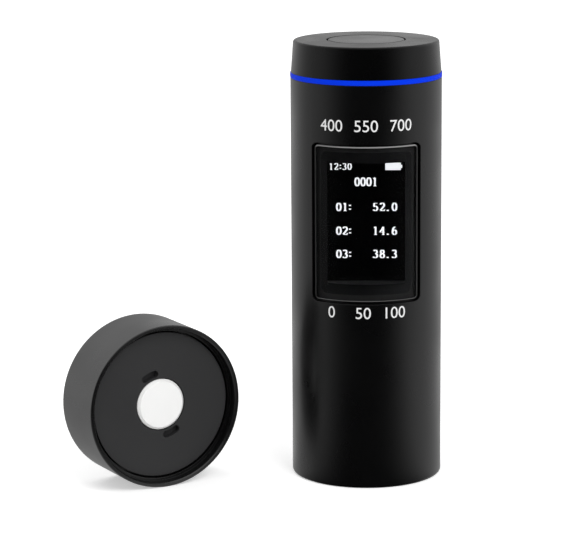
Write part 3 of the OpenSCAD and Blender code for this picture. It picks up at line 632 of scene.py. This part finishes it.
put_on_body(make_lens(), "instrument", [FINISHES["window_glass"], chamfer_painted_light, sawn_wall],
            ["display_lens"])

# %% [markdown]
# Behind the lens lies its black printed border, a film with an opening as large as the lit area.
# It hides the tape and the display's edges, so the window looks black from side to side. A mask in
# the lens's material could draw it, but a thin piece of its own has a sharp edge at any distance.

# %% Printed border
FILM_T = 0.04 * MM
FILM_GAP = 0.01 * MM
FILM_MARGIN = 0.1 * MM
LIT_W = 15.6 * MM
LIT_H = 24.8 * MM
LIT_CORNER = 0.15 * MM


def make_border():
    """The film as an object: two layers of outlines, closed into a solid frame."""
    outer = rounded_outline(lens_half_w - FILM_MARGIN, lens_half_h - FILM_MARGIN, LENS_CORNER)
    opening = rounded_outline(LIT_W / 2, LIT_H / 2, LIT_CORNER)
    work = bmesh.new()
    depths = (FILM_GAP, FILM_GAP + FILM_T)
    layers = [[add_ring(work, points, depth) for points in (outer, opening)] for depth in depths]
    near, far = layers
    count = len(outer)
    for i in range(count):
        j = (i + 1) % count
        for rim in (0, 1):
            work.faces.new((near[rim][i], near[rim][j], far[rim][j], far[rim][i]))
        for rims in layers:
            work.faces.new((rims[0][i], rims[0][j], rims[1][j], rims[1][i]))
    cut_strips(work, lens_half_w)
    bend_to_barrel(work, lens_r - LENS_T)
    bmesh.ops.translate(work, verts=work.verts[:], vec=(0, 0, window_z))
    return new_object("window_border", finish_mesh(work, "window_border"))


border_black = finish("border_black", (0.0115, 0.0115, 0.012), 0.6, bump=0.001, drift=0.04, specular=0.1)
put_on_body(make_border(), "instrument", [border_black])

# %% [markdown]
# The display shows a clock, a counter, three rows of plain numbers and a battery mark. Its figures
# have thick stems, thin bars and small serifs, as if drawn with a broad nib. Blender's own font has
# none of that, so each figure here is a few pen strokes along lines and arcs. A stroke is wide where
# it runs up and down and narrow where it runs across.

# %% Figures drawn with a broad nib
NIB_WIDE = 0.15
NIB_THIN = 0.06
DOT_X = 0.14
DOT_R = 0.035


def arc(x, y, rx, ry, start, end, steps=14):
    """Points along an ellipse, by angle in degrees."""
    angles = [math.radians(start + (end - start) * k / steps) for k in range(steps + 1)]
    return [(x + rx * math.cos(a), y + ry * math.sin(a)) for a in angles]


def dot(y):
    """Points round a small dot."""
    return arc(DOT_X, y, DOT_R, DOT_R, 0, 360, 8)


STROKES = {
    "0": [arc(0.25, 0.5, 0.18, 0.45, 0, 360, 24)],
    "1": [[(0.26, 0.03), (0.26, 0.95)], [(0.26, 0.93), (0.12, 0.84)], [(0.12, 0.04), (0.4, 0.04)]],
    "2": [arc(0.25, 0.71, 0.17, 0.24, 165, -35) + [(0.08, 0.08)], [(0.08, 0.06), (0.43, 0.06), (0.44, 0.2)]],
    "3": [arc(0.23, 0.73, 0.15, 0.22, 150, -90), arc(0.22, 0.28, 0.19, 0.24, 90, -150)],
    "4": [[(0.34, 0.03), (0.34, 0.95)], [(0.34, 0.92), (0.05, 0.32), (0.46, 0.32)],
          [(0.22, 0.04), (0.46, 0.04)]],
    "5": [[(0.42, 0.92), (0.13, 0.92)], [(0.13, 0.94), (0.12, 0.52)], arc(0.23, 0.32, 0.19, 0.27, 130, -150)],
    "6": [arc(0.25, 0.31, 0.17, 0.27, 0, 360, 20), arc(0.36, 0.44, 0.27, 0.5, 95, 185)],
    "7": [[(0.07, 0.8), (0.08, 0.93), (0.42, 0.93)], [(0.41, 0.93), (0.24, 0.5), (0.2, 0.04)]],
    "8": [arc(0.25, 0.73, 0.14, 0.21, 0, 360, 20), arc(0.25, 0.27, 0.17, 0.24, 0, 360, 20)],
    "9": [arc(0.25, 0.69, 0.17, 0.26, 0, 360, 20), arc(0.14, 0.56, 0.27, 0.5, 5, -85)],
    ":": [dot(0.24), dot(0.68)],
    ".": [dot(0.08)],
}
NARROW_STEPS = {":": 0.6, ".": 0.8}
FIGURE_DEPTH = 0.012 * MM


def pen_stroke(work, points, place):
    """Adds one stroke as a thin closed bar. place turns a point of the figure into one in the scene."""
    stations = []
    for k, point in enumerate(points):
        here = Vector(point)
        before = Vector(points[max(k - 1, 0)])
        after = Vector(points[min(k + 1, len(points) - 1)])
        along = (after - before).normalized()
        across = Vector((-along.y, along.x))
        half = (abs(across.x) * NIB_WIDE + abs(across.y) * NIB_THIN) / 2
        ends = (here + half * across, here - half * across)
        stations.append([work.verts.new(place(p, side)) for side in (0, 1) for p in ends])
    for (a, b, c, d), (e, f, g, h) in zip(stations, stations[1:]):
        for face in ((a, b, f, e), (d, c, g, h), (c, a, e, g), (b, d, h, f)):
            work.faces.new(face)
    for a, b, c, d in (stations[0], stations[-1]):
        work.faces.new((a, b, d, c))


def write_figures(work, text, height, x, z, align, widen, step):
    """Adds a row of figures at x and z on the display. widen stretches each, step sets them apart."""
    steps = [NARROW_STEPS.get(letter, 1.0) * step * height for letter in text]
    start = x - {"left": 0.0, "middle": 0.5, "right": 1.0}[align] * sum(steps)
    for letter, step in zip(text, steps):
        def place(point, side, left=start):
            return (left + point.x * widen * height, -side * FIGURE_DEPTH, z + (point.y - 0.5) * height)
        for points in STROKES[letter]:
            pen_stroke(work, points, place)
        start += step


print(len(STROKES), "figures, of", sum(len(strokes) for strokes in STROKES.values()), "strokes")

# %% [markdown]
# The figures are laid out as on the real screen: the clock and the battery mark at the top, the
# counter below them in the middle, and the rows with their labels on the left, their values right.
# A picture on the display would be less work, but it blurs from close by. These are closed bars a
# hundredth of a millimetre thick, and their material glows by itself.

# %% Lit figures
COUNT_H = 1.85 * MM
ROW_H = 1.75 * MM
SMALL_H = 1.4 * MM
EDGE_X = 7.5 * MM
LABEL_X = -6.1 * MM
VALUE_X = 6.5 * MM
TOP_Z = 11.15 * MM
COUNT_Z = 8.0 * MM
ROWS = (("01:", "52.0", 2.85 * MM), ("02:", "14.6", -2.05 * MM), ("03:", "38.3", -6.85 * MM))
# The battery mark: left end, right end and half height of its body and of its small pole
BATTERY_BLOCKS = ((3.85 * MM, 6.95 * MM, 0.75 * MM), (6.9 * MM, 7.25 * MM, 0.3 * MM))
FIGURE_GAP = 0.004 * MM
display_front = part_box("display_glass")[0][1] - FIGURE_GAP


def add_block(work, left, right, half_height):
    """Adds a thin flat block on the display's face, at the height of the clock."""
    for vert in bmesh.ops.create_cube(work, size=1.0)["verts"]:
        across, out, up = vert.co
        x = (left + right) / 2 + across * (right - left)
        vert.co = (x, (out - 0.5) * FIGURE_DEPTH, TOP_Z + up * 2 * half_height)


def make_figures():
    """All lit figures and the battery mark as one object."""
    work = bmesh.new()
    write_figures(work, "12:30", SMALL_H, -EDGE_X, TOP_Z, "left", widen=1.25, step=0.74)
    write_figures(work, "0001", COUNT_H, 0.0, COUNT_Z, "middle", widen=1.2, step=0.64)
    for label, value, z in ROWS:
        write_figures(work, label, ROW_H, LABEL_X, z, "left", widen=1.3, step=0.72)
        write_figures(work, value, ROW_H, VALUE_X, z, "right", widen=1.3, step=0.78)
    for left, right, half_height in BATTERY_BLOCKS:
        add_block(work, left, right, half_height)
    bmesh.ops.translate(work, verts=work.verts[:], vec=(0, display_front, window_z))
    return new_object("display_figures", finish_mesh(work, "display_figures"))


def glowing(name, colour, strength):
    """A lit figure: an even glow with a faint drift, over a pale base."""
    material = finish(name, (0.5, 0.5, 0.5), 0.4, bump=0.0)
    tree = material.node_tree
    shader = tree.nodes["Principled BSDF"].inputs
    drift = use_group(tree, surface_detail).outputs["Drift"]
    tree.links.new(mixed(tree, drift, shade(colour, 0.92), shade(colour, 1.0)), shader["Emission Color"])
    shader["Emission Strength"].default_value = strength
    return material


figure_white = glowing("figure_white", (0.97, 0.98, 1.0), strength=1.0)
put_on_body(make_figures(), "instrument", [figure_white])

# %% [markdown]
# White print above and below the window belongs to this kind of instrument. Here it is a plain scale
# of numbers. Text becomes a mesh, is cut into strips as the lens was, and is then rolled round the
# barrel, so that it keeps its width along the curve. It stands out by 0.015 mm, as ink does.

# %% Print rolled on the barrel
PRINT_BACK = 0.05 * MM
PRINT_FRONT = 0.015 * MM
PRINT_H = 2.35 * MM
UPPER_Z = window_z + 20.1 * MM
LOWER_Z = window_z - 18.1 * MM
UPPER_MARKS = (("400", -7.3), ("550", 0.0), ("700", 7.3))
LOWER_MARKS = (("0", -7.3), ("50", -0.6), ("100", 6.1))


def text_mesh(text):
    """A text in the plane of x and y, two units thick along z, as a plain mesh."""
    curve = bpy.data.curves.new("text", "FONT")
    curve.body = text
    curve.size = 1.0
    curve.extrude = 1.0
    holder = new_object("text", curve)
    graph = bpy.context.evaluated_depsgraph_get()
    mesh = bpy.data.meshes.new_from_object(holder.evaluated_get(graph))
    bpy.data.objects.remove(holder)
    return mesh


digit_points = [v.co.y for v in text_mesh("0").vertices]
DIGIT_H = max(digit_points) - min(digit_points)


def add_print(work, text, x, z):
    """Adds a text centred on x, with y as its depth below the barrel's surface."""
    scale = PRINT_H / DIGIT_H
    part = bmesh.new()
    mesh = text_mesh(text)
    part.from_mesh(mesh)
    middle = (min(v.co.x for v in part.verts) + max(v.co.x for v in part.verts)) / 2
    for vert in part.verts:
        across, up, out = vert.co
        depth = -PRINT_FRONT if out > 0 else PRINT_BACK
        vert.co = ((across - middle) * scale + x, depth, (up - DIGIT_H / 2) * scale + z)
    bmesh.ops.remove_doubles(part, verts=part.verts[:], dist=1e-7)
    part.to_mesh(mesh)
    part.free()
    work.from_mesh(mesh)


def roll_on_barrel(work, radius):
    """Rolls a flat mesh round the barrel: x becomes a length along the curve."""
    for vert in work.verts:
        reach = radius - vert.co.y
        angle = vert.co.x / radius
        vert.co.x = reach * math.sin(angle)
        vert.co.y = -reach * math.cos(angle)


def make_print(name, marks, z):
    """A row of numbers as an object. marks are texts with their x in mm."""
    work = bmesh.new()
    for text, x in marks:
        add_print(work, text, x * MM, z)
    cut_strips(work, max(abs(v.co.x) for v in work.verts))
    roll_on_barrel(work, barrel_r)
    return new_object(name, finish_mesh(work, name))


print_white = finish("print_white", (0.82, 0.82, 0.82), 0.5, grain=0.1, bump=0.002, drift=0.03)
for name, marks, z in (("upper_scale", UPPER_MARKS, UPPER_Z), ("lower_scale", LOWER_MARKS, LOWER_Z)):
    put_on_body(make_print(name, marks, z), "instrument", [print_white])

# %% [markdown]
# What repeats or follows a path is made with Geometry Nodes. A tree is a recipe with named sizes:
# it runs once, its result is kept as a plain mesh, and the modifier goes. These helpers build a
# tree's ends, add its nodes, and run it.

# %% Geometry Nodes helpers
def geometry_tree(name, sizes):
    """A new tree with a number input for each size, a material input and a geometry output."""
    tree = bpy.data.node_groups.new(name, "GeometryNodeTree")
    for label in sizes:
        tree.interface.new_socket(name=label, in_out="INPUT", socket_type="NodeSocketFloat")
    tree.interface.new_socket(name="Material", in_out="INPUT", socket_type="NodeSocketMaterial")
    tree.interface.new_socket(name="Geometry", in_out="OUTPUT", socket_type="NodeSocketGeometry")
    entry = tree.nodes.new("NodeGroupInput").outputs
    leave = tree.nodes.new("NodeGroupOutput").inputs["Geometry"]
    return tree, entry, leave


def geo(tree, kind, settings=None, **links):
    """A geometry node. links are values or sockets by the input's name, with _ for a space."""
    node = tree.nodes.new("GeometryNode" + kind)
    for label, value in (settings or {}).items():
        setattr(node, label, value)
    for label, value in links.items():
        feed(tree, node.inputs[label.replace("_", " ")], value)
    return node


def vector_of(tree, **parts):
    """A vector made of values or sockets, by axis."""
    return add_node(tree, "CombineXYZ", **parts).outputs[0]


def lifted(tree, part, height):
    """Moves a geometry up by a height."""
    return geo(tree, "Transform", Geometry=part.outputs[0], Translation=vector_of(tree, Z=height))


def link_all(tree, parts, node, label):
    """Links all parts to an input that takes many, and gives back its node."""
    for part in parts:
        tree.links.new(part.outputs[0], node.inputs[label])
    return node


def close_tree(tree, entry, leave, last):
    """Ends a tree in Realize Instances and Set Material."""
    real = geo(tree, "RealizeInstances", Geometry=last.outputs[0])
    named = geo(tree, "SetMaterial", Geometry=real.outputs[0], Material=entry["Material"])
    tree.links.new(named.outputs[0], leave)


def run_tree(tree, sizes, material):
    """The tree's result as an object with a plain mesh whose faces point outwards."""
    holder = new_object(tree.name, bpy.data.meshes.new(tree.name))
    modifier = holder.modifiers.new("recipe", "NODES")
    modifier.node_group = tree
    values = dict(sizes, Material=material)
    for socket in tree.interface.items_tree:
        if socket.in_out == "INPUT":
            modifier[socket.identifier] = values[socket.name]
    graph = bpy.context.evaluated_depsgraph_get()
    mesh = bpy.data.meshes.new_from_object(holder.evaluated_get(graph))
    holder.modifiers.remove(modifier)
    work = bmesh.new()
    work.from_mesh(mesh)
    bmesh.ops.remove_doubles(work, verts=work.verts[:], dist=1e-8)
    holder.data = finish_mesh(work, tree.name)
    low = [min(v.co[k] for v in holder.data.vertices) for k in range(3)]
    high = [max(v.co[k] for v in holder.data.vertices) for k in range(3)]
    print(tree.name, [round(v / MM, 2) for v in low + high])
    return holder


print("geometry helpers ready")

# %% [markdown]
# The blue ring is a moulded band between the tube and the head. A rounded profile is swept round a
# circle, because its two soft edges catch the light as thin lines.

# %% Coloured ring
ring_low, ring_high = (Vector(v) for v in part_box("accent_ring"))
RING_DEPTH = 1.2 * MM
RING_ROUND = 0.16 * MM


def make_ring():
    """The ring as an object, at the measured ring's height."""
    sizes = {
        "Middle Radius": ring_high.x - RING_DEPTH / 2,
        "Depth": RING_DEPTH,
        "Height": ring_high.z - ring_low.z,
        "Rounding": RING_ROUND,
    }
    tree, entry, leave = geometry_tree("coloured_ring", sizes)
    path = geo(tree, "CurvePrimitiveCircle", Resolution=180, Radius=entry["Middle Radius"])
    box = geo(tree, "CurvePrimitiveQuadrilateral", Width=entry["Depth"], Height=entry["Height"])
    soft = geo(tree, "FilletCurve", {"mode": "POLY"}, Curve=box.outputs[0], Radius=entry["Rounding"],
               Count=4)
    sweep = geo(tree, "CurveToMesh", Curve=path.outputs[0], Profile_Curve=soft.outputs[0])
    close_tree(tree, entry, leave, sweep)
    ring = run_tree(tree, sizes, FINISHES["accent_blue"])
    ring.data.transform(Matrix.Translation((0, 0, (ring_low.z + ring_high.z) / 2)))
    ring.data.shade_smooth()
    return ring


put_on_body(make_ring(), "instrument", [FINISHES["accent_blue"]], ["accent_ring"])

# %% [markdown]
# Three small socket-head screws hold the base. One screw is built from primitives: a head with a
# chamfer, a shank, and a hexagonal socket cut out of them. The recipe then sets copies on a circle.
# Three screws could be modelled by hand, but here one size changes all of them alike.

# %% Base screws
screws_low, screws_high = (Vector(v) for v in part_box("base_screws"))
SCREW_HEAD_R = 1.45 * MM
SCREW_COUNT = 3
SCREW_SIZES = {
    "Head Radius": SCREW_HEAD_R,
    "Head Height": 0.8 * MM,
    "Chamfer": 0.18 * MM,
    "Shank Radius": 0.78 * MM,
    "Shank Length": screws_high.z - screws_low.z,
    "Socket Radius": 0.62 * MM,
    "Socket Depth": 0.55 * MM,
    "Circle Radius": screws_high.y - SCREW_HEAD_R,
}


def make_screws():
    """The screws as one object. Their heads start at the height of the measured ones."""
    tree, entry, leave = geometry_tree("base_screw_set", SCREW_SIZES)
    narrow = maths(tree, "SUBTRACT", entry["Head Radius"], entry["Chamfer"])
    straight = maths(tree, "SUBTRACT", entry["Head Height"], entry["Chamfer"])
    half_head = maths(tree, "MULTIPLY", entry["Head Height"], 0.5)
    head_z = maths(tree, "ADD", half_head, maths(tree, "MULTIPLY", entry["Chamfer"], 0.5))
    shank_z = maths(tree, "MULTIPLY", entry["Shank Length"], 0.5)
    face = geo(tree, "MeshCone", Vertices=48, Radius_Top=entry["Head Radius"], Radius_Bottom=narrow,
               Depth=entry["Chamfer"])
    drum = geo(tree, "MeshCylinder", Vertices=48, Radius=entry["Head Radius"], Depth=straight)
    rod = geo(tree, "MeshCylinder", Vertices=24, Radius=entry["Shank Radius"], Depth=entry["Shank Length"])
    socket = geo(tree, "MeshCylinder", Vertices=6, Radius=entry["Socket Radius"],
                 Depth=maths(tree, "MULTIPLY", entry["Socket Depth"], 2.0))
    union = geo(tree, "MeshBoolean", {"operation": "UNION", "solver": "EXACT"})
    parts = (face, lifted(tree, drum, head_z), lifted(tree, rod, shank_z))
    whole = link_all(tree, parts, union, "Mesh 2")
    cut = geo(tree, "MeshBoolean", {"operation": "DIFFERENCE", "solver": "EXACT"},
              Mesh_1=whole.outputs[0], Mesh_2=socket.outputs[0])
    circle = geo(tree, "MeshCircle", Vertices=SCREW_COUNT, Radius=entry["Circle Radius"])
    turned = geo(tree, "Transform", Geometry=circle.outputs[0], Rotation=(0, 0, math.pi / 2))
    copies = geo(tree, "InstanceOnPoints", Points=turned.outputs[0], Instance=cut.outputs[0])
    close_tree(tree, entry, leave, copies)
    screws = run_tree(tree, SCREW_SIZES, FINISHES["screw_steel"])
    screws.data.transform(Matrix.Translation((0, 0, screws_low.z)))
    return screws


put_on_body(make_screws(), "instrument", [FINISHES["screw_steel"]], ["base_screws"])

# %% [markdown]
# The button's return spring is a wire wound into three turns. A Screw modifier could wind it, but a circle
# swept along a spiral keeps the wire round and closes its ends. The spring shortens as the button goes down.
# Here it gets a mesh of its own.

# %% Return spring
spring_low, spring_high = (Vector(v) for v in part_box("return_spring"))
SPRING_WIRE = 0.4 * MM
SPRING_SIZES = {
    "Wire Radius": SPRING_WIRE / 2,
    "Coil Radius": spring_high.x - SPRING_WIRE / 2,
    "Rise": spring_high.z - spring_low.z - SPRING_WIRE,
    "Turns": 3.0,
}


def make_spring():
    """The spring as an object, in the measured spring's place."""
    tree, entry, leave = geometry_tree("coil_spring", SPRING_SIZES)
    path = geo(tree, "CurveSpiral", Resolution=32, Rotations=entry["Turns"], Height=entry["Rise"],
               Start_Radius=entry["Coil Radius"], End_Radius=entry["Coil Radius"])
    wire = geo(tree, "CurvePrimitiveCircle", Resolution=12, Radius=entry["Wire Radius"])
    sweep = geo(tree, "CurveToMesh", Curve=path.outputs[0], Profile_Curve=wire.outputs[0], Fill_Caps=True)
    close_tree(tree, entry, leave, sweep)
    spring = run_tree(tree, SPRING_SIZES, FINISHES["spring_steel"])
    spring.data.transform(Matrix.Translation((0, 0, spring_low.z + SPRING_WIRE / 2)))
    return spring


coil_spring = make_spring()
put_on_body(coil_spring, "instrument", [FINISHES["spring_steel"]], ["return_spring"])
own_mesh(coil_spring)

# %% [markdown]
# The charging socket has a dark tongue with a row of contacts on each face. The tongue is a block
# with soft edges that just covers the measured one. The contacts lie at an even pitch, so they are
# copies along a line: a count and a pitch say all, where an array by hand needs every place.

# %% Socket tongue and contacts
socket_low, socket_high = (Vector(v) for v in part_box("usb_socket"))
socket_z = (socket_low.z + socket_high.z) / 2
TONGUE_W = 6.64 * MM
TONGUE_T = 0.74 * MM
TONGUE_EDGE = 0.12 * MM
TONGUE_SETBACK = 0.03 * MM
TONGUE_ROOT = 1.0 * MM
CONTACT_SETBACK = 2.1 * MM
CONTACT_SIZES = {
    "Pitch": 1.0 * MM,
    "Width": 0.42 * MM,
    "Length": 3.2 * MM,
    "Thickness": 0.06 * MM,
    "Tongue Thickness": TONGUE_T,
}
CONTACTS = 6


def make_tongue():
    """The tongue as an object: a block with rounded edges."""
    work = bmesh.new()
    near = socket_high.y - TONGUE_SETBACK
    far = socket_low.y + TONGUE_ROOT
    for vert in bmesh.ops.create_cube(work, size=1.0)["verts"]:
        across, along, up = vert.co
        vert.co = (across * TONGUE_W, (near + far) / 2 + along * (near - far), socket_z + up * TONGUE_T)
    bmesh.ops.bevel(work, geom=work.edges[:], offset=TONGUE_EDGE, segments=3, profile=0.5, affect="EDGES")
    return new_object("socket_tongue", finish_mesh(work, "socket_tongue"))


def make_contacts():
    """Both rows of contacts as one object."""
    tree, entry, leave = geometry_tree("socket_contacts", CONTACT_SIZES)
    start = vector_of(tree, X=maths(tree, "MULTIPLY", entry["Pitch"], -(CONTACTS - 1) / 2))
    step = vector_of(tree, X=entry["Pitch"])
    line = geo(tree, "MeshLine", Count=CONTACTS, Start_Location=start, Offset=step)
    size = vector_of(tree, X=entry["Width"], Y=entry["Length"], Z=entry["Thickness"])
    pad = geo(tree, "MeshCube", Size=size)
    row = geo(tree, "InstanceOnPoints", Points=line.outputs[0], Instance=pad.outputs[0])
    half = maths(tree, "MULTIPLY", entry["Tongue Thickness"], 0.5)
    rows = (lifted(tree, row, half), lifted(tree, row, maths(tree, "MULTIPLY", half, -1.0)))
    close_tree(tree, entry, leave, link_all(tree, rows, geo(tree, "JoinGeometry"), "Geometry"))
    contacts = run_tree(tree, CONTACT_SIZES, FINISHES["nickel"])
    contacts.data.transform(Matrix.Translation((0, socket_high.y - CONTACT_SETBACK, socket_z)))
    return contacts


put_on_body(make_tongue(), "instrument", [FINISHES["chip_black"]])
put_on_body(make_contacts(), "instrument", [FINISHES["nickel"]])
